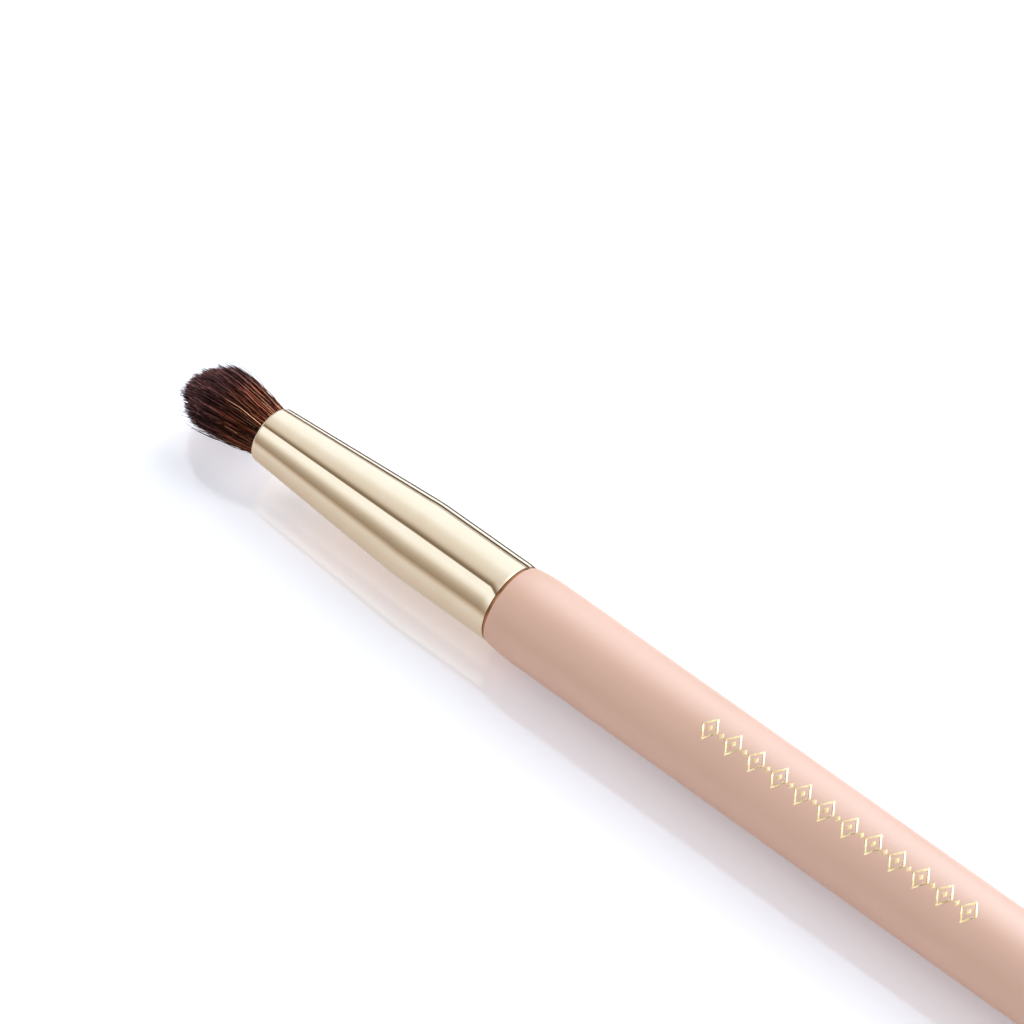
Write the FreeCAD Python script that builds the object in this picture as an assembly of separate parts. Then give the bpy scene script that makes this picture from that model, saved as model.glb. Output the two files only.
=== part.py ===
import FreeCAD, Part
import math
import os

# Eyeshadow brush, lying on its side: a domed tuft of hair, a tapered metal ferrule and a turned
# wooden handle, with the thread and the glue that hold them together inside the ferrule.
# X runs along the brush, with the hair towards -X and the handle's tail towards +X. +Z is up.
# The origin is under the middle of the brush's length, on the surface that the brush rests on.
# Lengths are in millimetres. A name that ends in share or shares is a ratio.

Vector = FreeCAD.Vector
along = Vector(1, 0, 0)
outward = Vector(0, 0, 1)
full_turn_degrees = 360.0

# What shows along the brush
hair_length = 10.3
ferrule_length = 30.0
handle_length = 129.7

# Clearance between pieces that sit in each other
fit_gap = 0.05

# Ferrule: a thin drawn tube, a cone and then a straight barrel, with both edges rolled inwards
ferrule_wall = 0.35
mouth_diameter = 5.75
barrel_diameter = 8.12
cone_length = 18.8
bend_radius = 20.0
mouth_roll_length = 0.3
mouth_roll_depth = 0.14
rear_roll_length = 0.65
rear_roll_depth = 0.12

# Handle: the tenon inside the barrel, which has as many glue grooves as its length holds
glue_film = 0.16
tenon_nose_gap = 0.8
tenon_nose_length = 1.2
tenon_nose_drop = 0.5
groove_width = 0.8
groove_depth = 0.35
groove_first_place = 2.4
groove_pitch = 2.3
groove_margin = 0.8

# Handle: the part that shows, with its places counted from the joint with the ferrule
neck_step = 0.03
neck_round = 0.1
shoulder_length = 3.5
shoulder_rise = 0.305
grip_slope_share = 0.0013
tail_diameter = 5.2
tail_slope_share = 0.046

# Tuft: the hair past the mouth, gathered in uneven locks
belly_place = 5.4
belly_diameter = 6.84
swell_power_share = 1.7
dome_power_share = 1.2
dome_end_degrees = 80.0
dome_steps = 6
swell_steps = 4
lock_count = 20
lock_depth = 0.3
ridge_depth = 0.08
lock_sway_share = 0.22
lock_step_degrees = 137.5

# Thread that binds the root of the tuft
thread_diameter = 0.35
thread_sides = 8
binding_turns = 3
binding_pitch = 0.8
waist_pinch = 0.2
root_tail_length = 1.3

# Glue plug behind the root of the tuft
root_glue_cover = 0.8
root_glue_length = 3.6
root_glue_dish = 0.5

# Sizes worked out from the ones above
mouth_radius = mouth_diameter / 2
barrel_radius = barrel_diameter / 2
mouth_bore_radius = mouth_radius - ferrule_wall
barrel_bore_radius = barrel_radius - ferrule_wall
cone_slope_share = (barrel_radius - mouth_radius) / cone_length
tenon_nose = cone_length + tenon_nose_gap
groove_room = ferrule_length - tenon_nose - groove_first_place - groove_width - groove_margin
groove_count = math.floor(groove_room / groove_pitch) + 1
tenon_radius = barrel_bore_radius - glue_film - 2 * fit_gap
neck_radius = barrel_radius - neck_step
shoulder_radius = neck_radius + shoulder_rise
tail_radius = tail_diameter / 2
belly_radius = belly_diameter / 2
root_radius = mouth_bore_radius - fit_gap
waist_radius = root_radius - waist_pinch
winding_radius = waist_radius + fit_gap + thread_diameter / 2
binding_room = winding_radius + thread_diameter / 2 + 2 * fit_gap - mouth_bore_radius
binding_start = binding_room / cone_slope_share + thread_diameter / 2
binding_end = binding_start + binding_turns * binding_pitch
root_depth = binding_end + thread_diameter / 2 + root_tail_length
overall_length = hair_length + ferrule_length + handle_length
mouth_place = hair_length - overall_length / 2
axis_height = shoulder_radius


def at(x, radius):
    """Point of an outline: x counts from the ferrule's mouth, radius from the brush's axis."""
    return Vector(x, 0, radius)


def line(start, end):
    """Straight edge."""
    return Part.makeLine(start, end)


def tangent_arc(start, corner, end):
    """Arc from start to end, tangent to two equal legs that meet in the corner."""
    middle = (start + end) * 0.5
    cosine = middle.distanceToPoint(start) / corner.distanceToPoint(start)
    crown = middle + (corner - middle) * (cosine / (1 + cosine))
    return Part.Arc(start, crown, end).toShape()


def arc_leaving(start, way, end):
    """Arc from start to end that leaves start in the given direction."""
    chord = end - start
    leg = chord.dot(chord) / (2 * chord.dot(way))
    return tangent_arc(start, start + way * leg, end)


def turned(edges):
    """Solid turned about the brush's axis from the edges of a closed outline."""
    outline = Part.Wire(Part.__sortEdges__(edges))
    return Part.Face(outline).revolve(Vector(), along, full_turn_degrees)


def bore_radius(x):
    """Radius of the ferrule's bore in its cone."""
    return mouth_bore_radius + cone_slope_share * x


def ferrule_side(inset, start, end):
    """Edges of one side of the ferrule's wall, from a place in the cone, round the bend, to the barrel's end."""
    first = at(start, mouth_radius - inset + cone_slope_share * start)
    bend = at(cone_length, barrel_radius - inset)
    uphill = (bend - first).normalize()
    bend_leg = bend_radius * math.tan(math.atan(cone_slope_share) / 2)
    before = bend - uphill * bend_leg
    after = bend + along * bend_leg
    return [line(first, before), tangent_arc(before, bend, after), line(after, at(end, bend.z))]


def ferrule():
    """Drawn tube: a straight-sided cone, a bend and a barrel, with its two edges rolled inwards."""
    mouth_outer = at(mouth_roll_length, mouth_radius + cone_slope_share * mouth_roll_length)
    mouth_front = at(0, mouth_radius - mouth_roll_depth)
    mouth_inner = at(0, mouth_bore_radius)
    downhill = (at(0, mouth_radius) - mouth_outer).normalize()
    rear_outer = at(ferrule_length - rear_roll_length, barrel_radius)
    rear_face = at(ferrule_length, barrel_radius - rear_roll_depth)
    rear_inner = at(ferrule_length, barrel_bore_radius)
    edges = [line(mouth_inner, mouth_front), arc_leaving(mouth_outer, downhill, mouth_front)]
    edges += ferrule_side(0, mouth_roll_length, ferrule_length - rear_roll_length)
    edges += [arc_leaving(rear_outer, along, rear_face), line(rear_face, rear_inner)]
    edges += ferrule_side(ferrule_wall, 0, ferrule_length)
    return turned(edges)


def groove_places():
    """Place of the front edge of each glue groove, from the ferrule's mouth."""
    return [tenon_nose + groove_first_place + index * groove_pitch for index in range(groove_count)]


def tenon_points():
    """Outline of the tenon, from the axis at its nose to the handle's shoulder face."""
    points = [at(tenon_nose, 0), at(tenon_nose, tenon_radius - tenon_nose_drop)]
    points.append(at(tenon_nose + tenon_nose_length, tenon_radius))
    for place in groove_places():
        points.append(at(place, tenon_radius))
        points.append(at(place, tenon_radius - groove_depth))
        points.append(at(place + groove_width, tenon_radius - groove_depth))
        points.append(at(place + groove_width, tenon_radius))
    points.append(at(ferrule_length + fit_gap, tenon_radius))
    return points


def handle():
    """Turned handle: grooved tenon, rounded shoulder, long grip and a taper to a round tail."""
    face = ferrule_length + fit_gap
    points = tenon_points()
    points.append(at(face, neck_radius - neck_round))
    edges = [line(start, end) for start, end in zip(points, points[1:])]

    neck = at(face + neck_round, neck_radius)
    edges.append(tangent_arc(points[-1], at(face, neck_radius), neck))
    shoulder = at(ferrule_length + shoulder_length, shoulder_radius)
    edges.append(arc_leaving(shoulder, -along, neck))

    end = ferrule_length + handle_length
    ball_radius = tail_radius * math.sqrt(1 + tail_slope_share * tail_slope_share)
    ball_centre = at(end - ball_radius, 0)
    tail = at(ball_centre.x + tail_slope_share * tail_radius, tail_radius)
    rise = shoulder.z - tail.z - grip_slope_share * (tail.x - shoulder.x)
    taper_run = rise / (tail_slope_share - grip_slope_share)
    taper_corner = tail - (along - outward * tail_slope_share) * taper_run
    grip_way = (taper_corner - shoulder).normalize()
    taper_start = taper_corner - grip_way * taper_corner.distanceToPoint(tail)
    edges.append(line(shoulder, taper_start))
    edges.append(tangent_arc(taper_start, taper_corner, tail))
    half_angle = math.atan2(tail.z, tail.x - ball_centre.x) / 2
    crown = ball_centre + (along * math.cos(half_angle) + outward * math.sin(half_angle)) * ball_radius
    edges.append(Part.Arc(tail, crown, at(end, 0)).toShape())
    edges.append(line(at(end, 0), points[0]))
    return turned(edges)


def tenon_glue():
    """Sleeve of glue between tenon and barrel, with a ring in each groove."""
    inner = tenon_radius + fit_gap
    ring_inner = inner - groove_depth
    outer = barrel_bore_radius - fit_gap
    start = tenon_nose + tenon_nose_length
    end = ferrule_length - rear_roll_length
    points = [at(start, outer), at(start, inner)]
    for place in groove_places():
        points.append(at(place + fit_gap, inner))
        points.append(at(place + fit_gap, ring_inner))
        points.append(at(place + groove_width - fit_gap, ring_inner))
        points.append(at(place + groove_width - fit_gap, inner))
    points += [at(end, inner), at(end, outer), points[0]]
    return turned([line(first, last) for first, last in zip(points, points[1:])])


def root_glue():
    """Plug of glue in the cone that holds the tuft's root in a socket, with a hollow rear face."""
    start = root_depth - root_glue_cover
    end = root_depth + root_glue_length
    rim_front = at(start, bore_radius(start) - fit_gap)
    rim_rear = at(end, bore_radius(end) - fit_gap)
    socket_mouth = at(start, root_radius + fit_gap)
    socket_floor = at(root_depth + fit_gap, root_radius + fit_gap)
    dish_floor = at(end - root_glue_dish, 0)
    edges = [
        line(rim_front, rim_rear),
        line(rim_rear, dish_floor),
        line(dish_floor, at(socket_floor.x, 0)),
        line(at(socket_floor.x, 0), socket_floor),
        line(socket_floor, socket_mouth),
        line(socket_mouth, rim_front),
    ]
    return turned(edges)


def winding_point(angle):
    """Place and direction of the binding thread's centre line, at an angle from its start."""
    climb = binding_pitch / (2 * math.pi)
    place = Vector(
        binding_start + climb * angle,
        winding_radius * math.cos(angle),
        winding_radius * math.sin(angle),
    )
    direction = Vector(climb, -winding_radius * math.sin(angle), winding_radius * math.cos(angle))
    return place, direction.normalize()


def biarc(start, start_way, end, end_way):
    """Two arcs, tangent to each other, that leave start and reach end in the given directions."""
    chord = end - start
    reach = chord.dot(start_way + end_way)
    bend = 1 - start_way.dot(end_way)
    leg = (math.sqrt(reach * reach + 2 * bend * chord.dot(chord)) - reach) / (2 * bend)
    first_corner = start + start_way * leg
    last_corner = end - end_way * leg
    meeting = (first_corner + last_corner) * 0.5
    return [tangent_arc(start, first_corner, meeting), tangent_arc(meeting, last_corner, end)]


def winding_gap():
    """Least gap between neighbouring turns of the thread, measured on points of its centre line."""
    steps_per_turn = 24
    steps = steps_per_turn * binding_turns
    places = [winding_point(2 * math.pi * step / steps_per_turn)[0] for step in range(steps + 1)]
    spans = [
        places[first].distanceToPoint(places[last])
        for first in range(steps + 1)
        for last in range(first + steps_per_turn // 2, steps + 1)
    ]
    return min(spans) - thread_diameter


def thread_section(centre, way):
    """Many-sided section of the thread, square to its way."""
    side = way.cross(along).normalize()
    rise = way.cross(side)
    corners = []
    for index in range(thread_sides + 1):
        angle = 2 * math.pi * index / thread_sides
        corners.append(centre + (side * math.cos(angle) + rise * math.sin(angle)) * (thread_diameter / 2))
    return Part.makePolygon(corners)


def tuft_binding():
    """Thread wound round the tuft's root as one unbroken tube, with a short straight tail at each end."""
    quarter = math.pi / 2
    stations = [winding_point(quarter * index) for index in range(4 * binding_turns + 1)]
    first, first_way = stations[0]
    last, last_way = stations[-1]
    thread_start = first - first_way * thread_diameter
    edges = [line(thread_start, first)]
    for (start, start_way), (end, end_way) in zip(stations, stations[1:]):
        edges += biarc(start, start_way, end, end_way)
    edges.append(line(last, last + last_way * thread_diameter))
    shell = Part.BRepOffsetAPI.MakePipeShell(Part.Wire(edges))
    shell.add(thread_section(thread_start, first_way))
    shell.build()
    shell.makeSolid()
    return shell.shape()


def lock_share(index, turn):
    """Uneven number from 0 to 1 for a lock: the turn picks another series of the same kind."""
    return 0.5 + 0.5 * math.sin(math.radians(lock_step_degrees * (index + 1) * turn))


def tuft_outline():
    """Places and radii along the tuft, from its root, through the mouth, to the end of its dome."""
    waist_middle = (binding_start + binding_end) / 2
    outline = [(root_depth, root_radius, 0)]
    outline += [(place, waist_radius, 0) for place in (binding_end, waist_middle, binding_start)]
    outline.append((0, root_radius, 0))
    for step in range(1, swell_steps + 1):
        share = step / swell_steps
        radius = belly_radius - (belly_radius - root_radius) * (1 - share) ** swell_power_share
        outline.append((-belly_place * share, radius, share))
    dome_length = hair_length - belly_place
    for step in range(1, dome_steps + 1):
        angle = math.radians(dome_end_degrees) * step / dome_steps
        narrowing = math.cos(angle) ** dome_power_share
        outline.append((-belly_place - dome_length * math.sin(angle), belly_radius * narrowing, narrowing))
    return outline


def tuft_meridian(index):
    """Points of one ridge or groove of the tuft, in its own plane through the brush's axis."""
    groove = index % 2
    deepest = ridge_depth + groove * (lock_depth - ridge_depth)
    depth = deepest * (1 + lock_share(index, 1)) / 2
    spacing = math.pi / lock_count
    sway = lock_sway_share * (2 * lock_share(index, 2) - 1)
    angle = spacing * (index + sway)
    ray = Vector(0, math.cos(angle), math.sin(angle))
    return [along * x + ray * (radius - depth * share) for x, radius, share in tuft_outline()]


def hair_tuft():
    """Domed tuft with uneven locks: ruled faces between ridges and grooves, closed at both ends."""
    meridians = [tuft_meridian(index) for index in range(2 * lock_count)]
    curves = []
    for points in meridians:
        curve = Part.BSplineCurve()
        curve.interpolate(points)
        curves.append(curve.toShape())
    apex = along * -hair_length
    faces = []
    for index, curve in enumerate(curves):
        following = (index + 1) % len(curves)
        faces.append(Part.makeRuledSurface(curve, curves[following]))
        tip = meridians[index][-1]
        next_tip = meridians[following][-1]
        faces.append(Part.Face(Part.makePolygon([tip, next_tip, apex, tip])))
    root = [points[0] for points in meridians]
    faces.append(Part.Face(Part.makePolygon(root + [root[0]])))
    shell = Part.Shell(faces)
    shell.sewShape()
    return Part.Solid(shell)


def upright(solid):
    """The solid with its faces outwards, moved from the ferrule's mouth to its place in the frame."""
    if solid.Volume < 0:
        solid.reverse()
    placed = solid.copy()
    placed.translate(Vector(mouth_place, 0, axis_height))
    return placed


def main():
    """Build each piece, write it to its own file and print its size."""
    makers = (handle, ferrule, tenon_glue, root_glue, tuft_binding, hair_tuft)
    os.makedirs("parts", exist_ok=True)
    for maker in makers:
        solid = upright(maker())
        box = solid.BoundBox
        solid.exportStep("parts/" + maker.__name__ + ".step")
        print(
            f"{maker.__name__}: valid {solid.isValid()}, volume {solid.Volume:.2f},"
            f" x {box.XMin:.2f} to {box.XMax:.2f}, z {box.ZMin:.2f} to {box.ZMax:.2f}"
        )
    print(f"least gap between the thread's turns: {winding_gap():.2f}")


main()
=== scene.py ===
"""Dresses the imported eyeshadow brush: domed hair tuft, champagne-gold ferrule and rose lacquered handle.

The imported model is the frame. X runs along the brush, the hair towards -X and the tail towards +X, +Z is up
and the brush lies on z = 0. Places along the brush are counted from the ferrule's mouth, and everything is
in metres.
"""

import logging
import math
from collections.abc import Sequence
from dataclasses import dataclass, field
from enum import Enum
from typing import Any

import bmesh
import bpy
import numpy as np
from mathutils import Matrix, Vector


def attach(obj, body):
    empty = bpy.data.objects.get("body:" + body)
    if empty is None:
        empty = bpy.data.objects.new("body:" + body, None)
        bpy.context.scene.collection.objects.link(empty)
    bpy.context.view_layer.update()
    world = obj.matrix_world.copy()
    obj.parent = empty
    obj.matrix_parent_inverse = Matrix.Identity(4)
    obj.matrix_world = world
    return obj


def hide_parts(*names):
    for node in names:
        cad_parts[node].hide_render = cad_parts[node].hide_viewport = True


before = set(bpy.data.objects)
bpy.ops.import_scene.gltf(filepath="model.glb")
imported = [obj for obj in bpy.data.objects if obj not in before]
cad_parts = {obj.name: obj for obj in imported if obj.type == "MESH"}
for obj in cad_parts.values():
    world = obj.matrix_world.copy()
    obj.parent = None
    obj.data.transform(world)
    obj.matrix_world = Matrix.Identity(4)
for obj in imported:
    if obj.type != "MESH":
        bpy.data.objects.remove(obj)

LOG = logging.getLogger("brush")
MM = 0.001
FULL_TURN = 2 * math.pi

Colour = tuple[float, float, float]
Place = tuple[float, float, float]
Stops = Sequence[tuple[float, float | Colour]]
Span = tuple[float, float]
Band = tuple[float, float, float, float]
Values = dict[str | int, Any]
Piece = bpy.types.Object
Arrays = tuple[np.ndarray, ...]


class Slot(Enum):
    """Names for material slots."""

    HANDLE = "handle"
    FERRULE = "ferrule"
    HAIR = "hair"
    THREAD = "thread"
    GLUE = "glue"


# Shader expressions


@dataclass(frozen=True)
class Noise:
    """A noise: its lumps to the metre, its detail and roughness, and its scale along the brush."""

    scale: float
    detail: float = 2.0
    roughness: float = 0.5
    along: float = 1.0


class Sock:
    """A node's output that takes part in sums, so that shader maths reads as plain Python."""

    def __init__(self, graph: "Graph", socket: bpy.types.NodeSocket) -> None:
        """Keeps the graph and the output socket."""
        self.graph = graph
        self.socket = socket

    def __add__(self, other: "Sock | float") -> "Sock":
        """Sum."""
        return self.graph.math("ADD", self, other)

    def __radd__(self, other: float) -> "Sock":
        """Sum with a number on the left."""
        return self.graph.math("ADD", other, self)

    def __sub__(self, other: "Sock | float") -> "Sock":
        """Difference."""
        return self.graph.math("SUBTRACT", self, other)

    def __rsub__(self, other: float) -> "Sock":
        """Difference from a number on the left."""
        return self.graph.math("SUBTRACT", other, self)

    def __mul__(self, other: "Sock | float") -> "Sock":
        """Product."""
        return self.graph.math("MULTIPLY", self, other)

    def __rmul__(self, other: float) -> "Sock":
        """Product with a number on the left."""
        return self.graph.math("MULTIPLY", other, self)

    def __truediv__(self, other: "Sock | float") -> "Sock":
        """Quotient."""
        return self.graph.math("DIVIDE", self, other)

    def __rtruediv__(self, other: float) -> "Sock":
        """Quotient with a number on the left."""
        return self.graph.math("DIVIDE", other, self)

    def __neg__(self) -> "Sock":
        """Negative."""
        return self.graph.math("MULTIPLY", self, -1.0)

    def __pow__(self, other: float) -> "Sock":
        """Power."""
        return self.graph.math("POWER", self, other)

    def __rpow__(self, other: float) -> "Sock":
        """Power of a number on the left."""
        return self.graph.math("POWER", other, self)


class Graph:
    """A node tree and the few ways in which this file adds nodes to it."""

    def __init__(self, tree: bpy.types.NodeTree) -> None:
        """Empties the tree and keeps it."""
        self.tree = tree
        tree.nodes.clear()

    def node(self, kind: str, settings: Values | None = None, inputs: Values | None = None) -> bpy.types.Node:
        """Adds a node: its settings first, then the values and links of its sockets.

        Args:
            kind: the node's type.
            settings: its properties; "stops" holds a ramp's (place, colour) pairs.
            inputs: value or Sock for each socket, by name or number.

        Returns:
            The node.
        """
        made = self.tree.nodes.new(kind)
        for name, value in (settings or {}).items():
            if name == "stops":
                self._set_stops(made.color_ramp, value)
            else:
                setattr(made, name, value)
        for name, value in (inputs or {}).items():
            if isinstance(value, Sock):
                self.tree.links.new(value.socket, made.inputs[name])
            else:
                made.inputs[name].default_value = value
        return made

    @staticmethod
    def _set_stops(ramp: bpy.types.ColorRamp, stops: Stops) -> None:
        """Gives a ramp its stops.

        Args:
            ramp: the ramp.
            stops: places and colours; a number stands for a grey.
        """
        while len(ramp.elements) < len(stops):
            ramp.elements.new(1.0)
        for element, (place, colour) in zip(ramp.elements, stops):
            element.position = place
            shade = (colour,) * 3 if isinstance(colour, (int, float)) else colour
            element.color = (*shade, 1.0)

    def take(
        self, kind: str, output: str | int, settings: Values | None = None, inputs: Values | None = None
    ) -> Sock:
        """Adds a node and returns one of its outputs.

        Args:
            kind: the node's type.
            output: the output's name or number.
            settings: see node().
            inputs: see node().

        Returns:
            The output.
        """
        return Sock(self, self.node(kind, settings, inputs).outputs[output])

    def math(self, operation: str, *values: "Sock | float") -> Sock:
        """A Math node on one to three values."""
        return self.take("ShaderNodeMath", 0, {"operation": operation}, dict(enumerate(values)))

    def vector(self, operation: str, *values: "Sock | Place") -> Sock:
        """A Vector Math node on one or two vectors."""
        return self.take("ShaderNodeVectorMath", 0, {"operation": operation}, dict(enumerate(values)))

    def place(self) -> Sock:
        """Object coordinates."""
        return self.take("ShaderNodeTexCoord", "Object")

    def parts(self, vector: Sock) -> tuple[Sock, Sock, Sock]:
        """X, Y and Z of a vector."""
        split = self.node("ShaderNodeSeparateXYZ", inputs={0: vector})
        return Sock(self, split.outputs[0]), Sock(self, split.outputs[1]), Sock(self, split.outputs[2])

    def attribute(self, name: str) -> Sock:
        """A number that the mesh carries at each point."""
        return self.take("ShaderNodeAttribute", "Fac", {"attribute_name": name})

    def noise(self, place: Sock, look: Noise) -> Sock:
        """Noise from 0 to 1, drawn out or squeezed along the brush.

        Args:
            place: where it is read.
            look: the kind of noise.

        Returns:
            Its value.
        """
        if look.along != 1.0:
            place = self.vector("MULTIPLY", place, (look.along, 1.0, 1.0))
        values = {"Vector": place, "Scale": look.scale, "Detail": look.detail, "Roughness": look.roughness}
        return self.take("ShaderNodeTexNoise", 0, {}, values)

    def mix(self, share: "Sock | float", first: "Sock | Colour", second: "Sock | Colour") -> Sock:
        """Colour between first, at share 0, and second, at share 1."""
        values = {0: share, 6: self.filled(first), 7: self.filled(second)}
        return self.take("ShaderNodeMix", 2, {"data_type": "RGBA"}, values)

    @staticmethod
    def filled(colour: "Sock | Colour") -> "Sock | tuple[float, ...]":
        """A colour as a colour socket takes it."""
        return colour if isinstance(colour, Sock) else (*colour, 1.0)

    def scaled(self, colour: "Sock | Colour", strength: "Sock | float") -> Sock:
        """A colour times a number."""
        return self.take("ShaderNodeVectorMath", 0, {"operation": "SCALE"}, {0: colour, "Scale": strength})

    def span(self, value: Sock, low: float, high: float, first: float = 0.0, last: float = 1.0) -> Sock:
        """Smooth step: first below low, last above high."""
        values = {"Value": value, "From Min": low, "From Max": high, "To Min": first, "To Max": last}
        return self.take("ShaderNodeMapRange", 0, {"interpolation_type": "SMOOTHSTEP"}, values)

    def band(self, value: Sock, places: Band) -> Sock:
        """1 between the two inner places, 0 outside the two outer ones, and smooth between."""
        return self.span(value, places[0], places[1]) * self.span(value, places[2], places[3], 1.0, 0.0)

    def patches(
        self, noise: Sock, first: "Sock | Colour", second: "Sock | Colour", edges: Span = (0.3, 0.7)
    ) -> Sock:
        """Colour that goes from first to second as a noise rises."""
        return self.mix(self.span(noise, *edges), first, second)

    def uneven(self, noise: Sock, levels: Span, edges: Span = (0.2, 0.8)) -> Sock:
        """Number that goes from the low level to the high one as a noise rises."""
        return self.span(noise, *edges, *levels)

    def ramp(self, value: Sock, stops: Stops) -> Sock:
        """Colour by value, between stops."""
        return self.take("ShaderNodeValToRGB", 0, {"stops": stops}, {0: value})

    def bump(self, height: Sock, depth: float) -> Sock:
        """Normal of a surface raised by height times depth metres."""
        return self.take("ShaderNodeBump", 0, {}, {"Height": height, "Distance": depth, "Strength": 1.0})

    def principled(self, inputs: Values) -> Sock:
        """A Principled shader."""
        return self.take("ShaderNodeBsdfPrincipled", 0, {}, inputs)

    def emission(self, colour: "Sock | Colour", strength: float = 1.0) -> Sock:
        """An Emission shader."""
        return self.take("ShaderNodeEmission", 0, {}, {"Color": self.filled(colour), "Strength": strength})

    def either(self, share: Sock, first: Sock, second: Sock) -> Sock:
        """Shader between first, at share 0, and second, at share 1."""
        return self.take("ShaderNodeMixShader", 0, {}, {0: share, 1: first, 2: second})

    def surface(self, shader: Sock) -> None:
        """Sends a shader to the material's surface."""
        self.node("ShaderNodeOutputMaterial", inputs={"Surface": shader})


def new_material(name: str) -> tuple[bpy.types.Material, Graph]:
    """An empty material.

    Args:
        name: its name.

    Returns:
        The material and its graph.
    """
    material = bpy.data.materials.new(name)
    material.use_nodes = True
    return material, Graph(material.node_tree)


# Mesh making


def mesh_piece(
    name: str, points: np.ndarray, faces: Sequence[np.ndarray], marks: dict[str, np.ndarray] | None = None
) -> Piece:
    """Object from arrays of points and faces.

    Args:
        name: name of the piece.
        points: n x 3 places in metres.
        faces: arrays of corner numbers, each for faces with one number of corners.
        marks: a number for each point, by attribute name.

    Returns:
        The object, smooth-shaded, with its place in its mesh.
    """
    mesh = bpy.data.meshes.new(name)
    mesh.vertices.add(len(points))
    mesh.vertices.foreach_set("co", np.ascontiguousarray(points, np.float32).ravel())
    corners = np.concatenate([part.ravel() for part in faces]).astype(np.int32)
    sizes = np.concatenate([np.full(len(part), part.shape[1]) for part in faces])
    starts = np.concatenate([[0], np.cumsum(sizes)[:-1]]).astype(np.int32)
    mesh.loops.add(len(corners))
    mesh.loops.foreach_set("vertex_index", corners)
    mesh.polygons.add(len(sizes))
    mesh.polygons.foreach_set("loop_start", starts)
    mesh.polygons.foreach_set("use_smooth", np.ones(len(sizes), bool))
    mesh.update(calc_edges=True)
    mesh.validate()
    for mark, values in (marks or {}).items():
        attribute = mesh.attributes.new(mark, "FLOAT", "POINT")
        attribute.data.foreach_set("value", np.ascontiguousarray(values, np.float32).ravel())
    piece = bpy.data.objects.new(name, mesh)
    bpy.context.scene.collection.objects.link(piece)
    return piece


def ring_faces(rows: int, sides: int, closed: bool) -> np.ndarray:
    """Four-sided faces round rows of points and from each row to the next.

    Args:
        rows: number of rows.
        sides: number of points in a row, each row a closed ring.
        closed: whether the last row joins the first.

    Returns:
        n x 4 corner numbers.
    """
    row = np.arange(rows if closed else rows - 1)[:, None]
    side = np.arange(sides)[None, :]
    after, beside = (row + 1) % rows, (side + 1) % sides
    corners = [row * sides + side, row * sides + beside, after * sides + beside, after * sides + side]
    return np.stack(corners, axis=-1).reshape(-1, 4)


def in_radians(degrees: Span) -> Span:
    """A span of angles, from degrees."""
    return math.radians(degrees[0]), math.radians(degrees[1])


def smooth(share: np.ndarray) -> np.ndarray:
    """Smooth step of shares from 0 to 1: three times the square less twice the cube."""
    return share * share * (3 - 2 * share)


def repeated(faces: np.ndarray, count: int, step: int) -> np.ndarray:
    """The same faces on count copies of a shape, whose points lie step numbers apart."""
    return (faces[None] + (np.arange(count) * step)[:, None, None]).reshape(-1, faces.shape[1])


def round_lines(
    centres: np.ndarray, radius: np.ndarray, turn: np.ndarray, square_to: Sequence[float]
) -> np.ndarray:
    """Rings round centre lines: centre + radius * (side * cosine of turn + rise * sine of turn).

    Side is square to the line and to the given direction, and rise is square to the line and to side.

    Args:
        centres: ... x rings x 3 points of the lines.
        radius: radius of each ring or corner.
        turn: angle of each corner round its line.
        square_to: a direction that no line follows.

    Returns:
        ... x rings x corners x 3 points.
    """
    way = np.gradient(centres, axis=-2)
    way /= np.linalg.norm(way, axis=-1, keepdims=True)
    side = np.cross(way, square_to)
    side /= np.linalg.norm(side, axis=-1, keepdims=True)
    rise = np.cross(way, side)
    return centres[..., None, :] + radius[..., None] * (
        side[..., None, :] * np.cos(turn)[..., None] + rise[..., None, :] * np.sin(turn)[..., None]
    )


def turned(name: str, profile: np.ndarray, sides: int, sharp_degrees: float = 40.0) -> Piece:
    """Lathe shape: each (place, radius) of the profile goes round the brush's axis.

    A point of the surface is (mouth + place, radius * sine, height of the axis + radius * cosine). Where the
    profile starts and ends on the axis, those ends become single points; otherwise it closes on itself.

    Args:
        name: name of the piece.
        profile: n x 2 places along the brush and radii, clockwise seen from -Y.
        sides: number of sides round the axis.
        sharp_degrees: edges that bend more than this stay sharp.

    Returns:
        The object.
    """
    on_axis = profile[0, 1] == 0 and profile[-1, 1] == 0
    rows = profile[1:-1] if on_axis else profile
    angle = np.arange(sides) * FULL_TURN / sides
    x = np.repeat(rows[:, :1], sides, axis=1)
    points = np.stack([x, rows[:, 1:] * np.sin(angle), rows[:, 1:] * np.cos(angle)], axis=-1).reshape(-1, 3)
    faces = [ring_faces(len(rows), sides, closed=not on_axis)[:, ::-1]]
    if on_axis:
        first, last = len(points), len(points) + 1
        side = np.arange(sides)
        beside = (side + 1) % sides
        end = (len(rows) - 1) * sides
        faces.append(np.stack([side, beside, np.full(sides, first)], axis=-1))
        faces.append(np.stack([end + beside, end + side, np.full(sides, last)], axis=-1))
        points = np.concatenate([points, [[profile[0, 0], 0, 0], [profile[-1, 0], 0, 0]]])
    piece = mesh_piece(name, points + axis_offset(), faces)
    piece.data.set_sharp_from_angle(angle=math.radians(sharp_degrees))
    return piece


def face_outwards(piece: Piece) -> None:
    """Turns every face of closed shells outwards.

    Args:
        piece: object whose mesh is made of closed shells.
    """
    shells = bmesh.new()
    shells.from_mesh(piece.data)
    bmesh.ops.recalc_face_normals(shells, faces=shells.faces)
    shells.to_mesh(piece.data)
    shells.free()


def axis_offset() -> np.ndarray:
    """Where places counted from the mouth and the axis lie in the frame."""
    return np.array([BRUSH.mouth, 0.0, BRUSH.axis_height])


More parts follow.
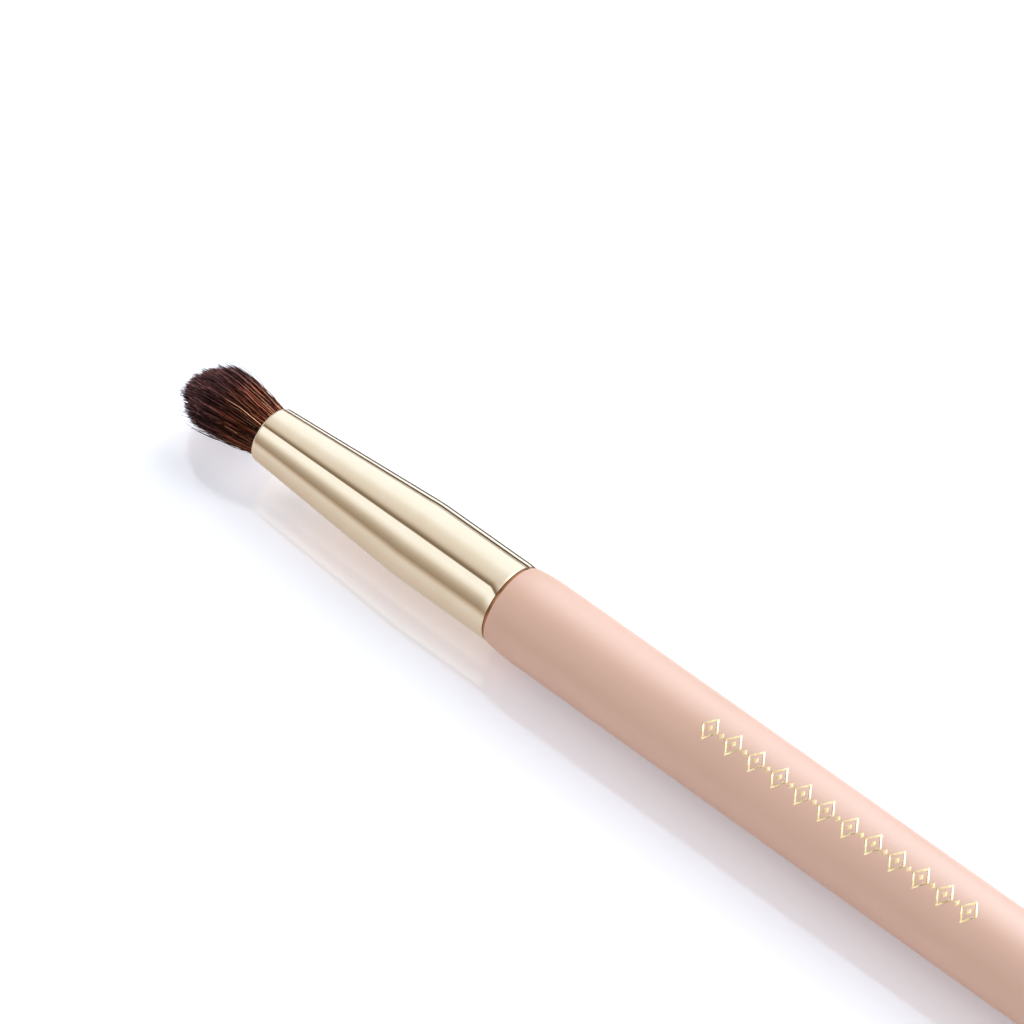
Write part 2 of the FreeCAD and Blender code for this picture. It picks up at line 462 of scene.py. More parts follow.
def straight(start: Sequence[float], end: Sequence[float], steps: int) -> np.ndarray:
    """Points from start to just before end, closer together near both."""
    share = (1 - np.cos(np.linspace(0, math.pi, steps + 1)[:-1])) / 2
    return np.array(start) + share[:, None] * (np.array(end) - np.array(start))


def arc_leaving(start: Sequence[float], way: Sequence[float], end: Sequence[float], steps: int) -> np.ndarray:
    """Points of the circle that leaves start in the given direction and reaches end, without end itself.

    The whole turn is twice the angle from way to the chord, and a point at turn t is start + radius * (way *
    sine of t + side * (1 - cosine of t)).

    Args:
        start: first point.
        way: direction of the arc at start.
        end: point that it reaches.
        steps: number of pieces.

    Returns:
        steps x 2 points.
    """
    start, end = np.array(start, float), np.array(end, float)
    way = np.array(way, float) / np.linalg.norm(way)
    chord = end - start
    side = np.array([-way[1], way[0]])
    side *= math.copysign(1.0, float(chord @ side))
    half = math.atan2(float(chord @ side), float(chord @ way))
    radius = np.linalg.norm(chord) / (2 * math.sin(half))
    turn = (np.linspace(0, 2 * half, steps + 1)[:-1])[:, None]
    return start + radius * (way * np.sin(turn) + side * (1 - np.cos(turn)))


def finish_piece(
    piece: Piece, material: bpy.types.Material, replaced: str | None = None
) -> Piece:
    """Dresses a piece and ties it to the frame.

    Args:
        piece: the new piece.
        material: its material.
        replaced: CAD node that it stands for.

    Returns:
        The piece.
    """
    piece.data.materials.append(material)
    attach(piece, "root")
    if replaced is not None:
        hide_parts(replaced)
    LOG.info("%s: %d points, %d faces", piece.name, len(piece.data.vertices), len(piece.data.polygons))
    return piece


# The brush's common sizes


@dataclass(frozen=True)
class Brush:
    """Sizes that more than one piece shares."""

    mouth: float = -74.7 * MM
    axis_height: float = 4.335 * MM
    ferrule_length: float = 30.0 * MM
    handle_length: float = 129.7 * MM
    hair_length: float = 10.3 * MM
    fit_gap: float = 0.05 * MM
    wall: float = 0.35 * MM
    mouth_radius: float = 2.875 * MM
    barrel_radius: float = 4.06 * MM
    cone_length: float = 18.8 * MM

    @property
    def cone_slope(self) -> float:
        """Rise of the cone's radius per metre of its length."""
        return (self.barrel_radius - self.mouth_radius) / self.cone_length

    @property
    def handle_face(self) -> float:
        """Place of the face where the handle meets the ferrule."""
        return self.ferrule_length + self.fit_gap


BRUSH = Brush()


# Finishes


@dataclass(frozen=True)
class Finish:
    """A finish made by one Principled shader, whose inputs come from values()."""

    name: str

    def values(self, graph: Graph) -> Values:
        """Inputs of the shader, which each finish works out in its own way."""
        raise NotImplementedError

    def material(self) -> bpy.types.Material:
        """Makes the material.

        Returns:
            The material, named for the finish.
        """
        material, graph = new_material(self.name)
        graph.surface(graph.principled(self.values(graph)))
        return material


@dataclass(frozen=True)
class RoseLacquer(Finish):
    """Matte rose lacquer over birch, which is bare on the tenon.

    A thin metallic copper line at its edge is a painted reflection of the gold in the joint's groove.
    """

    name: str = "rose_lacquer"
    rose: Colour = (0.565, 0.300, 0.184)
    rose_light: Colour = (0.595, 0.320, 0.202)
    # Painted reflection of the gold in the joint's groove.
    painted_joint_reflection: Colour = (0.42, 0.165, 0.06)
    birch: Colour = (0.62, 0.44, 0.26)
    birch_grain: Colour = (0.46, 0.29, 0.15)
    cloud: Noise = Noise(260.0, 3.0, along=0.25)
    peel: Noise = Noise(2600.0)
    grain: Noise = Noise(2200.0, 5.0, 0.6, along=0.06)
    grain_patches: Span = (0.35, 0.7)
    roughness: Span = (0.52, 0.59)
    bare_dullness: float = 0.2
    line_polish: float = 0.35
    line_metallic: float = 0.9
    ior: float = 2.6
    line_width: float = 0.28 * MM
    edge_blur: float = 0.02 * MM
    peel_depth: float = 0.0012 * MM
    grain_relief: float = 3.0

    def values(self, graph: Graph) -> Values:
        """Lacquer with a faint cloudiness and orange-peel, and birch grain where the tenon starts.

        Args:
            graph: the material's graph.

        Returns:
            The shader's inputs.
        """
        place = graph.place()
        along, _, _ = graph.parts(place)
        cloud, peel, grain = (graph.noise(place, look) for look in (self.cloud, self.peel, self.grain))
        lacquer = graph.patches(cloud, self.rose, self.rose_light)
        wood = graph.patches(grain, self.birch, self.birch_grain, self.grain_patches)
        face = BRUSH.mouth + BRUSH.handle_face
        edge = face + self.line_width
        bare = graph.span(along, face - self.edge_blur, face + self.edge_blur, 1.0, 0.0)
        # Painted reflection: a thin metallic copper band at the lacquer's edge.
        line = graph.span(along, edge - self.edge_blur, edge + self.edge_blur, 1.0, 0.0) * (1.0 - bare)
        matte = graph.uneven(cloud, self.roughness)
        return {
            "Base Color": graph.mix(bare, graph.mix(line, lacquer, self.painted_joint_reflection), wood),
            "Metallic": line * self.line_metallic,
            "Roughness": matte + bare * self.bare_dullness - line * self.line_polish,
            "IOR": self.ior,
            "Normal": graph.bump(peel + bare * grain * self.grain_relief, self.peel_depth),
        }


@dataclass(frozen=True)
class ChampagneGold(Finish):
    """Polished, anodised aluminium tube."""

    name: str = "champagne_gold"
    gold: Colour = (0.82, 0.70, 0.525)
    gold_deep: Colour = (0.80, 0.68, 0.50)
    cloud: Noise = Noise(420.0)
    lines: Noise = Noise(5200.0, 3.0, 0.6, along=0.02)
    line_depth: float = 0.00012 * MM
    roughness: Span = (0.050, 0.085)
    bore_dullness: float = 0.15
    bore_blur: float = 0.4

    def values(self, graph: Graph) -> Values:
        """Metal with faint drawing lines along the tube and a duller bore.

        Args:
            graph: the material's graph.

        Returns:
            The shader's inputs.
        """
        place = graph.place()
        _, across, height = graph.parts(place)
        lift = height - BRUSH.axis_height
        radius = graph.math("SQRT", across * across + lift * lift)
        bore = BRUSH.mouth_radius - BRUSH.wall
        inside = graph.span(radius, bore, bore + self.bore_blur * BRUSH.wall, 1.0, 0.0)
        lines = graph.noise(place, self.lines)
        return {
            "Base Color": graph.patches(graph.noise(place, self.cloud), self.gold, self.gold_deep),
            "Metallic": 1.0,
            "Roughness": graph.uneven(lines, self.roughness) + inside * self.bore_dullness,
            "Normal": graph.bump(lines, self.line_depth),
        }


@dataclass(frozen=True)
class HairColour(Finish):
    """Colour of the hair from the ferrule to its tips, given at three places of its reach."""

    root: Colour
    middle: Colour
    tip: Colour
    places: tuple[float, float, float] = (0.28, 0.58, 0.86)
    tone_shift: float = 0.22
    tone_power: float = 2.6
    contrast: float = 7.8
    darkest: float = 0.09
    streak: Noise = Noise(2600.0, along=0.15)
    streak_noise: Span = (0.25, 0.75)
    streak_gain: Span = (0.75, 1.25)
    roughness: Span = (0.25, 0.38)
    ior: float = 1.14
    gloss: float = 0.65
    gloss_tones: Span = (0.4, 0.8)
    coat_roughness: float = 0.22
    coat_ior: float = 1.55

    def values(self, graph: Graph) -> Values:
        """Hair that darkens towards its tips and differs from strand to strand.

        Its colour is the ramp's, times contrast * tone to a power + darkest, so that few hairs are light.

        Args:
            graph: the material's graph.

        Returns:
            The shader's inputs.
        """
        reach = graph.attribute("reach")
        tone = graph.attribute("tone")
        stops = list(zip(self.places, (self.root, self.middle, self.tip)))
        shade = graph.ramp(reach + (tone - 0.5) * self.tone_shift, stops)
        light = (tone**self.tone_power) * self.contrast + self.darkest
        streak = graph.span(graph.noise(graph.place(), self.streak), *self.streak_noise, *self.streak_gain)
        return {
            "Base Color": graph.scaled(shade, light * streak),
            "Roughness": graph.span(tone, 0.0, 1.0, *self.roughness),
            "IOR": self.ior,
            "Coat Weight": graph.span(tone, *self.gloss_tones) * self.gloss,
            "Coat Roughness": self.coat_roughness,
            "Coat IOR": self.coat_ior,
        }


@dataclass(frozen=True)
class Grained(Finish):
    """A finish whose colour, gloss and relief all follow one noise."""

    first: Colour
    second: Colour
    grain: Noise
    grain_patches: Span
    roughness: Span
    depth: float
    metallic: float = 0.0

    def values(self, graph: Graph) -> Values:
        """Two colours in patches, glossier in one and raised in the other.

        Args:
            graph: the material's graph.

        Returns:
            The shader's inputs.
        """
        grain = graph.noise(graph.place(), self.grain)
        return {
            "Base Color": graph.patches(grain, self.first, self.second, self.grain_patches),
            "Metallic": self.metallic,
            "Roughness": graph.uneven(grain, self.roughness),
            "Normal": graph.bump(grain, self.depth),
        }


@dataclass(frozen=True)
class AmberGlue(Finish):
    """Hardened epoxy."""

    name: str = "amber_glue"
    amber: Colour = (0.50, 0.28, 0.08)
    cloudy: Colour = (0.62, 0.42, 0.18)
    bubble: Colour = (0.80, 0.62, 0.36)
    cloud: Noise = Noise(900.0, 4.0, 0.6)
    cloud_patches: Span = (0.35, 0.7)
    roughness: Span = (0.12, 0.28)
    bubbles: float = 2600.0
    bubble_edge: Span = (0.12, 0.2)
    bubble_share: float = 0.6
    bubble_relief: float = 0.5
    wave_depth: float = 0.02 * MM

    def values(self, graph: Graph) -> Values:
        """Glue with cloudy streaks, small bubbles and a wavy gloss.

        Args:
            graph: the material's graph.

        Returns:
            The shader's inputs.
        """
        place = graph.place()
        cloud = graph.noise(place, self.cloud)
        inputs = {"Vector": place, "Scale": self.bubbles}
        cells = graph.take("ShaderNodeTexVoronoi", 0, {"feature": "F1"}, inputs)
        spots = graph.span(cells, *self.bubble_edge, 1.0, 0.0)
        streaks = graph.patches(cloud, self.amber, self.cloudy, self.cloud_patches)
        return {
            "Base Color": graph.mix(spots * self.bubble_share, streaks, self.bubble),
            "Roughness": graph.uneven(cloud, self.roughness),
            "Normal": graph.bump(cloud - spots * self.bubble_relief, self.wave_depth),
        }


DARK_HAIR = HairColour("dark_hair", (0.17, 0.043, 0.018), (0.132, 0.036, 0.021), (0.118, 0.045, 0.043))
BRIGHT_HAIR = HairColour(
    "bright_hair", (0.95, 0.47, 0.23), (0.90, 0.385, 0.19), (0.14, 0.06, 0.045), contrast=1.7, ior=1.5
)
GOLD_FOIL = Grained(
    "gold_foil",
    first=(0.86, 0.66, 0.33),
    second=(0.95, 0.80, 0.50),
    grain=Noise(3200.0, 3.0, 0.6),
    grain_patches=(0.35, 0.65),
    roughness=(0.16, 0.30),
    depth=0.02 * MM,
    metallic=1.0,
)
WAXED_COTTON = Grained(
    "waxed_cotton",
    first=(0.40, 0.33, 0.22),
    second=(0.60, 0.52, 0.38),
    grain=Noise(9000.0, 3.0, 0.6, along=2.0),
    grain_patches=(0.3, 0.7),
    roughness=(0.45, 0.65),
    depth=0.01 * MM,
)


# Sub-assemblies


@dataclass
class Handle:
    """Turned handle with its tenon."""

    sides: int = 160
    tenon_radius: float = 3.45 * MM
    tenon_nose: float = 19.6 * MM
    tenon_nose_length: float = 1.2 * MM
    tenon_nose_drop: float = 0.5 * MM
    groove_places: tuple[float, ...] = (22.0 * MM, 24.3 * MM, 26.6 * MM)
    groove_width: float = 0.8 * MM
    groove_depth: float = 0.35 * MM
    neck_step: float = 0.03 * MM
    neck_round: float = 0.1 * MM
    shoulder_length: float = 3.5 * MM
    shoulder_rise: float = 0.305 * MM
    grip_slope: float = 0.0013
    tail_radius: float = 2.6 * MM
    tail_slope: float = 0.046
    face_steps: int = 4
    neck_steps: int = 6
    grip_steps: int = 24
    taper_steps: int = 48
    tail_steps: int = 20

    @property
    def shoulder(self) -> float:
        """Place of the top of the shoulder."""
        return BRUSH.ferrule_length + self.shoulder_length

    @property
    def neck_radius(self) -> float:
        """Radius just behind the ferrule."""
        return BRUSH.barrel_radius - self.neck_step

    @property
    def shoulder_radius(self) -> float:
        """Radius at the top of the shoulder, the handle's largest."""
        return self.neck_radius + self.shoulder_rise

    def tenon(self) -> np.ndarray:
        """Profile of the tenon, from the axis at its nose to the shoulder face.

        Returns:
            n x 2 places and radii.
        """
        low = self.tenon_radius - self.groove_depth
        points = [(self.tenon_nose, 0.0), (self.tenon_nose, self.tenon_radius - self.tenon_nose_drop)]
        points.append((self.tenon_nose + self.tenon_nose_length, self.tenon_radius))
        for place in self.groove_places:
            points += [(place, self.tenon_radius), (place, low)]
            points += [(place + self.groove_width, low), (place + self.groove_width, self.tenon_radius)]
        points.append((BRUSH.handle_face, self.tenon_radius))
        return np.array(points)

    def grip(self) -> np.ndarray:
        """Profile of what shows: face, neck, shoulder, straight grip, long taper and round tail.

        Returns:
            n x 2 places and radii.
        """
        face = BRUSH.handle_face
        edge = (face, self.neck_radius - self.neck_round)
        neck = (face + self.neck_round, self.neck_radius)
        shoulder = (self.shoulder, self.shoulder_radius)
        end = BRUSH.ferrule_length + BRUSH.handle_length
        ball = self.tail_radius * math.sqrt(1 + self.tail_slope**2)
        tail = (end - ball + self.tail_slope * self.tail_radius, self.tail_radius)
        rise = shoulder[1] - tail[1] - self.grip_slope * (tail[0] - shoulder[0])
        run = rise / (self.tail_slope - self.grip_slope)
        corner = np.array([tail[0] - run, tail[1] + self.tail_slope * run])
        way = corner - shoulder
        taper = corner - way / np.linalg.norm(way) * np.linalg.norm(corner - tail)
        shoulder_arc = arc_leaving(shoulder, (-1.0, 0.0), neck, self.grip_steps)
        return np.concatenate([
            straight((face, self.tenon_radius), edge, self.face_steps)[1:],
            arc_leaving(edge, (0.0, 1.0), neck, self.neck_steps),
            [neck],
            shoulder_arc[:0:-1],
            straight(shoulder, taper, self.grip_steps),
            arc_leaving(taper, way, tail, self.taper_steps),
            arc_leaving(tail, (1.0, -self.tail_slope), (end, 0.0), self.tail_steps),
            [(end, 0.0)],
        ])

    def build(self) -> list[Piece]:
        """Makes the handle."""
        piece = turned("turned_handle", np.concatenate([self.tenon(), self.grip()]), self.sides)
        return [finish_piece(piece, RoseLacquer().material(), "handle")]


@dataclass
class FoilOrnament:
    """Row of outlined lozenges with small solid ones in and between them, stamped in foil on the grip."""

    first: float = 54.4 * MM
    pitch: float = 2.65 * MM
    count: int = 12
    half_along: float = 0.92 * MM
    half_around: float = 1.28 * MM
    stroke: float = 0.2 * MM
    ridge: float = 0.035 * MM
    bead_along: float = 0.25 * MM
    bead_around: float = 0.38 * MM
    middle_degrees: float = 12.4
    rise: float = 0.008 * MM
    depth: float = 0.03 * MM
    edge_steps: int = 8
    sharp_degrees: float = 35.0

    def lozenge(self, half_along: float, half_around: float) -> np.ndarray:
        """Points round a lozenge, each edge in equal steps.

        Args:
            half_along: half its length along the brush.
            half_around: half its width round the brush.

        Returns:
            n x 2 points (along, around), counted from its middle.
        """
        corners = np.array([(half_along, 0.0), (0.0, half_around), (-half_along, 0.0), (0.0, -half_around)])
        share = np.arange(self.edge_steps)[None, :, None] / self.edge_steps
        after = np.roll(corners, -1, axis=0)
        return (corners[:, None] * (1 - share) + after[:, None] * share).reshape(-1, 2)

    def on_grip(self, flat: np.ndarray, middles: np.ndarray, lift: float) -> np.ndarray:
        """Lays flat points on the grip round each middle: (middle + along, -radius * sine, radius * cosine).

        Args:
            flat: points as (along, around).
            middles: places of the middles, from the mouth.
            lift: height above the lacquer.

        Returns:
            middles x points x 3.
        """
        handle = Handle()
        place = middles[:, None] + flat[None, :, 0]
        radius = handle.shoulder_radius - handle.grip_slope * (place - handle.shoulder)
        angle = math.radians(self.middle_degrees) + flat[None, :, 1] / radius
        radius = radius + lift
        return np.stack([place, -radius * np.sin(angle), radius * np.cos(angle)], axis=-1)

    def outlined(self) -> Arrays:
        """Outlined lozenges, each a low ridge whose underside lies in the lacquer.

        Returns:
            Points and four-sided faces.
        """
        middles = self.first + self.pitch * np.arange(self.count)
        slant = math.hypot(self.half_along, self.half_around)
        inner_along = self.half_along - self.stroke * slant / self.half_around
        inner_around = self.half_around - self.stroke * slant / self.half_along
        outer = self.lozenge(self.half_along, self.half_around)
        inner = self.lozenge(inner_along, inner_around)
        crest = ((outer + inner) / 2, self.rise + self.ridge)
        rows = [(outer, -self.depth), (outer, self.rise), crest, (inner, self.rise), (inner, -self.depth)]
        rings = np.stack([self.on_grip(flat, middles, lift) for flat, lift in rows], axis=1)
        band = ring_faces(len(rows), len(outer), closed=True)
        return rings.reshape(-1, 3), repeated(band, self.count, len(rows) * len(outer))

    def solid(self) -> Arrays:
        """Small lozenges, in and between the outlined ones.

        Returns:
            Points, four-sided faces and triangles.
        """
        middles = self.first + self.pitch * np.arange(2 * self.count - 1) / 2
        edge = self.lozenge(self.bead_along, self.bead_around)
        heart = np.zeros((1, 2))
        crest = (heart, self.rise + self.ridge)
        layers = [crest, (edge, self.rise), (edge, -self.depth), (heart, -self.depth)]
        points = np.concatenate([self.on_grip(flat, middles, lift) for flat, lift in layers], axis=1)
        sides = len(edge)
        side = np.arange(sides)
        beside = (side + 1) % sides
        walls = np.stack([side + 1, beside + 1, beside + 1 + sides, side + 1 + sides], axis=-1)
        tops = np.stack([np.zeros(sides, int), beside + 1, side + 1], axis=-1)
        floors = np.stack([np.full(sides, 2 * sides + 1), side + 1 + sides, beside + 1 + sides], axis=-1)
        count, step = points.shape[:2]
        caps = np.concatenate([tops, floors])
        return points.reshape(-1, 3), repeated(walls, count, step), repeated(caps, count, step)

    def build(self) -> list[Piece]:
        """Makes the ornament.

        Returns:
            The piece.
        """
        band_points, bands = self.outlined()
        bead_points, walls, caps = self.solid()
        points = np.concatenate([band_points, bead_points]) + axis_offset()
        shift = len(band_points)
        piece = mesh_piece("foil_ornament", points, [np.concatenate([bands, walls + shift]), caps + shift])
        face_outwards(piece)
        piece.data.set_sharp_from_angle(angle=math.radians(self.sharp_degrees))
        return [finish_piece(piece, GOLD_FOIL.material())]


@dataclass
class Ferrule:
    """Drawn tube: a cone, a bend and a barrel, with both edges rolled inwards."""

    sides: int = 160
    bend_radius: float = 20.0 * MM
    mouth_roll_length: float = 0.3 * MM
    mouth_roll_depth: float = 0.14 * MM
    rear_roll_length: float = 1.2 * MM
    rear_roll_depth: float = 0.06 * MM
    rear_roll_power: float = 2.6
    edge_steps: int = 2
    inner_steps: int = 8
    outer_steps: int = 24
    bend_steps: int = 8
    mouth_roll_steps: int = 10
    rear_roll_steps: int = 12

    def side(self, inset: float, start: float, end: float, steps: int) -> np.ndarray:
        """One side of the wall from a place in the cone, round the bend, to a place on the barrel.

        Args:
            inset: depth of the side below the tube's outer face.
            start: place in the cone.
            end: place on the barrel.
            steps: number of pieces in the cone; the barrel has half as many.

        Returns:
            n x 2 places and radii, without the last point.
        """
        slope = BRUSH.cone_slope
        first = np.array([start, BRUSH.mouth_radius - inset + slope * start])
        bend = np.array([BRUSH.cone_length, BRUSH.barrel_radius - inset])
        uphill = (bend - first) / np.linalg.norm(bend - first)
        leg = self.bend_radius * math.tan(math.atan(slope) / 2)
        before, after = bend - uphill * leg, bend + np.array([leg, 0.0])
        return np.concatenate([
            straight(first, before, steps),
            arc_leaving(before, uphill, after, self.bend_steps),
            straight(after, (end, bend[1]), steps // 2),
        ])

    def profile(self) -> np.ndarray:
        """Closed outline of the wall, front edge first.

        Over the rear roll the radius falls by the roll's depth times the share of its length to a power.

        Returns:
            n x 2 places and radii.
        """
        length = BRUSH.ferrule_length
        mouth_roll = (self.mouth_roll_length, BRUSH.mouth_radius + BRUSH.cone_slope * self.mouth_roll_length)
        front = (0.0, BRUSH.mouth_radius - self.mouth_roll_depth)
        inner_front = (0.0, BRUSH.mouth_radius - BRUSH.wall)
        rear_start = np.array([length - self.rear_roll_length, BRUSH.barrel_radius])
        rear = (length, BRUSH.barrel_radius - self.rear_roll_depth)
        inner_rear = (length, BRUSH.barrel_radius - BRUSH.wall)
        mouth_arc = arc_leaving(mouth_roll, (-1.0, -BRUSH.cone_slope), front, self.mouth_roll_steps)
        share = np.linspace(0, 1, self.rear_roll_steps + 1)[:-1, None]
        fall = share**self.rear_roll_power * [0.0, self.rear_roll_depth]
        return np.concatenate([
            straight(inner_front, front, self.edge_steps),
            [front],
            mouth_arc[:0:-1],
            self.side(0.0, self.mouth_roll_length, rear_start[0], self.outer_steps),
            rear_start + share * [self.rear_roll_length, 0.0] - fall,
            straight(rear, inner_rear, self.edge_steps),
            [inner_rear],
            self.side(BRUSH.wall, 0.0, length, self.inner_steps)[:0:-1],
        ])

    def build(self) -> list[Piece]:
        """Makes the tube."""
        piece = turned("gold_ferrule", self.profile(), self.sides)
        return [finish_piece(piece, ChampagneGold().material(), "ferrule")]


@dataclass(frozen=True)
class HairKind:
    """One kind of hair, which stands between two shares of the tuft's radius.

    Ragged is the spread of the tips along the brush and wave the size of the sway. Over is how far the tips
    pass the dome, and flare the spread of the share by which they stand out. A hair's tone is gain * tone +
    lift.
    """

    names: tuple[str, ...]
    finish: HairColour
    count: int
    shares: Span
    ragged: float
    wave: float
    over: float
    flare: float
    thickness: float = 1.0
    gain: float = 1.0
    lift: float = 0.0
    replaced: str | None = None


@dataclass
class HairTuft:
    """Thousands of tapering hairs, bound at the root, that swell to a belly and end in a dome."""

    seed: int = 20
    rings: int = 13
    inner_places: tuple[float, ...] = (1.0, 0.45)
    ring_power: float = 0.92
    hair_radius: float = 0.044 * MM
    tip_radius: float = 0.014 * MM
    radius_spread: Span = (0.7, 1.25)
    taper: float = 0.7
    taper_power: float = 3.4
    droop: Span = (-0.60 * MM, -0.42 * MM)
    droop_power: float = 4.0
    droop_limit: float = 1.1
    root_depth: float = 8.02 * MM
    root_radius: float = 2.475 * MM
    waist_radius: float = 2.275 * MM
    waist_span: Span = (4.14 * MM, 6.54 * MM)
    belly_place: float = 6.1 * MM
    belly_radius: float = 3.36 * MM
    swell_power: float = 1.15
    dome_power: float = 1.25
    dome_round: float = 0.667
    flare: float = 0.06
    flare_power: float = 1.5
    flare_limit: float = 1.4
    share_shake: float = 0.008
    turn_shake: float = 0.012
    least_share: float = 0.1
    lock_count: int = 430
    lock_rise: float = 0.012
    lock_ragged: float = 0.24 * MM
    gather: float = 0.7
    gather_power: float = 2.5
    gather_spread: Span = (0.5, 1.1)
    sway_turns: tuple[float, ...] = (0.6, 1.4, 2.6)
    sway_spread: Span = (0.7, 1.3)
    lock_tone: Span = (1.3, 2.0)
    own_tone: Span = (1.15, 2.3)
    lock_tone_share: float = 0.12
    # Painted light: how much lighter the hairs towards +Y and +Z are.
    painted_light_lean: float = 0.02
    kinds: tuple[HairKind, ...] = (
        HairKind(
            ("hair_1", "hair_2", "hair_3"), DARK_HAIR, 4500, (0.0, 1.0),
            ragged=0.17 * MM, wave=0.04 * MM, over=0.05 * MM, flare=0.012, replaced="hair_tuft",
        ),
        HairKind(
            ("bright_hair",), BRIGHT_HAIR, 66, (0.97, 1.0),
            ragged=0.6 * MM, wave=0.06 * MM, over=0.0, flare=0.02, thickness=0.5, lift=0.25,
        ),
        HairKind(
            ("stray_hair",), DARK_HAIR, 150, (0.88, 1.0),
            ragged=0.5 * MM, wave=0.08 * MM, over=0.45 * MM, flare=0.1, thickness=0.85, gain=0.6,
        ),
    )
    generator: np.random.Generator = field(init=False)

    def __post_init__(self) -> None:
        """Starts the seeded random numbers."""
        self.generator = np.random.default_rng(self.seed)

    def outline(self, place: np.ndarray) -> np.ndarray:
        """Radius of the tuft at places counted from the mouth, positive inside the ferrule.

        Inside it is the root's radius with a smooth waist under the thread. Outside it is belly - (belly -
        root) * (1 - share) to the swell power, and past the belly it still opens slowly.

        Args:
            place: places along the brush.

        Returns:
            The radii.
        """
        start, end = self.waist_span
        rise = np.clip(place / start, 0, 1)
        fall = np.clip((self.root_depth - place) / (self.root_depth - end), 0, 1)
        pinch = np.minimum(smooth(rise), smooth(fall))
        inside = self.root_radius - (self.root_radius - self.waist_radius) * pinch
        share = np.clip(-place / self.belly_place, 0, 1)
        swell = self.belly_radius - (self.belly_radius - self.root_radius) * (1 - share) ** self.swell_power
        past = (-place - self.belly_place) / (BRUSH.hair_length - self.belly_place)
        past = np.clip(past, 0, self.flare_limit)
        return np.where(place > 0, inside, swell * (1 + self.flare * past))

    def dome_end(self, share: np.ndarray) -> np.ndarray:
        """How far past the mouth the dome lies at shares of the radius: a power of 1 - a power of them."""
        height = (1 - np.clip(share, 0, 1) ** self.dome_power) ** self.dome_round
        return self.belly_place + (BRUSH.hair_length - self.belly_place) * height

    def spread(self, count: int, low: float = 0.0, high: float = 1.0) -> Arrays:
        """Places spread evenly over a ring of the tuft's section, as seeds in a sunflower, and a bit shaken.

        Args:
            count: number of places.
            low: inner share of the tuft's radius.
            high: outer share.

        Returns:
            Shares of the radius, and angles.
        """
        index = np.arange(count) + 0.5
        share = np.sqrt(low**2 + (high**2 - low**2) * index / count)
        golden = 3 - math.sqrt(5)
        angle = index * math.pi * golden
        share = np.clip(share + self.generator.normal(0, self.share_shake, count), 0, 1)
        shake = self.generator.normal(0, self.turn_shake, count)
        return share, angle + shake / np.maximum(share, self.least_share)

    def rings_along(self, length: np.ndarray) -> Arrays:
        """Where the rings of each hair lie.

        Args:
            length: how far each hair passes the mouth.

        Returns:
            Places, hairs x rings, and their reach, from 0 at the mouth to 1 at the tip.
        """
        count = len(length)
        inner = np.array(self.inner_places)
        outer = np.linspace(0, 1, self.rings - len(inner)) ** self.ring_power
        root = np.broadcast_to(inner * self.root_depth, (count, len(inner)))
        place = np.concatenate([root, -outer[None, :] * length[:, None]], axis=1)
        reach = np.concatenate([np.zeros_like(root), np.broadcast_to(outer, (count, len(outer)))], axis=1)
        return place, reach

    def add_sway(self, points: np.ndarray, reach: np.ndarray, wave: float) -> None:
        """Bends the hairs sideways by slow sine waves of the reach, each with its own rate, phase and size.

        Args:
            points: hairs x rings x 3, which are changed.
            reach: hairs x rings.
            wave: size of the sway.
        """
        draw = self.generator
        shape = (2, len(points), 1)
        for turns in self.sway_turns:
            phase = draw.uniform(0, FULL_TURN, shape)
            rate = turns * draw.uniform(*self.sway_spread, shape)
            size = wave * draw.normal(0, 1.0, shape) / turns
            sway = size * (np.sin(rate * FULL_TURN * reach + phase) - np.sin(phase))
            points[:, :, 1] += sway[0] * (reach > 0)
            points[:, :, 2] += sway[1] * (reach > 0)

    def lines(self, share: np.ndarray, angle: np.ndarray, kind: HairKind) -> Arrays:
        """Centre lines of hairs, from the root to the tip.

        A hair keeps its share of the tuft's radius. Past the mouth it is drawn towards its lock's middle,
        more so near the tip, and it droops and sways.

        Args:
            share: each hair's share of the radius.
            angle: its angle round the axis.
            kind: what the hairs have in common.

        Returns:
            The points, hairs x rings x 3, their reach, from 0 at the mouth to 1 at the tip, and each hair's
            tone, from 0 dark to 1 light, part of which it shares with its lock; the side towards +Y and +Z is
            lighter, as painted light from above and behind.
        """
        draw = self.generator
        count, locks = len(share), self.lock_count
        lock_share, lock_angle = self.spread(locks)
        lock = np.stack([lock_share * np.cos(lock_angle), lock_share * np.sin(lock_angle)], axis=1)
        across, up = share * np.cos(angle), share * np.sin(angle)
        apart = (across[:, None] - lock[None, :, 0]) ** 2 + (up[:, None] - lock[None, :, 1]) ** 2
        chosen = np.argmin(apart, axis=1)
        own = lock[chosen]
        lift = draw.normal(0, self.lock_rise, locks)[chosen]
        lock_length = draw.normal(0, self.lock_ragged, locks)[chosen]
        length = self.dome_end(share) + lock_length + draw.normal(0, kind.ragged, count) + kind.over
        place, reach = self.rings_along(length)
        pull = self.gather * reach**self.gather_power * draw.uniform(*self.gather_spread, count)[:, None]
        across = across[:, None] * (1 - pull) + own[:, :1] * pull
        up = up[:, None] * (1 - pull) + own[:, 1:] * pull
        out = lift + np.abs(draw.normal(0, 1.0, count)) * kind.flare
        radius = (self.outline(place) - self.hair_radius) * (1 + out[:, None] * reach**self.flare_power)
        points = np.stack([place, across * radius, up * radius], axis=-1)
        sag = np.clip(-place / BRUSH.hair_length, 0, self.droop_limit) ** self.droop_power
        points[:, :, 1:] += np.array(self.droop) * sag[:, :, None]
        self.add_sway(points, reach, kind.wave)
        tone = self.lock_tone_share * draw.beta(*self.lock_tone, locks)[chosen]
        tone = tone + (1 - self.lock_tone_share) * draw.beta(*self.own_tone, count)
        # Painted light: the side towards +Y and +Z is made lighter, as if lit from above and behind.
        tone = np.clip(tone + self.painted_light_lean * (across[:, 2] + up[:, 2]), 0, 1)
        return points, reach, tone

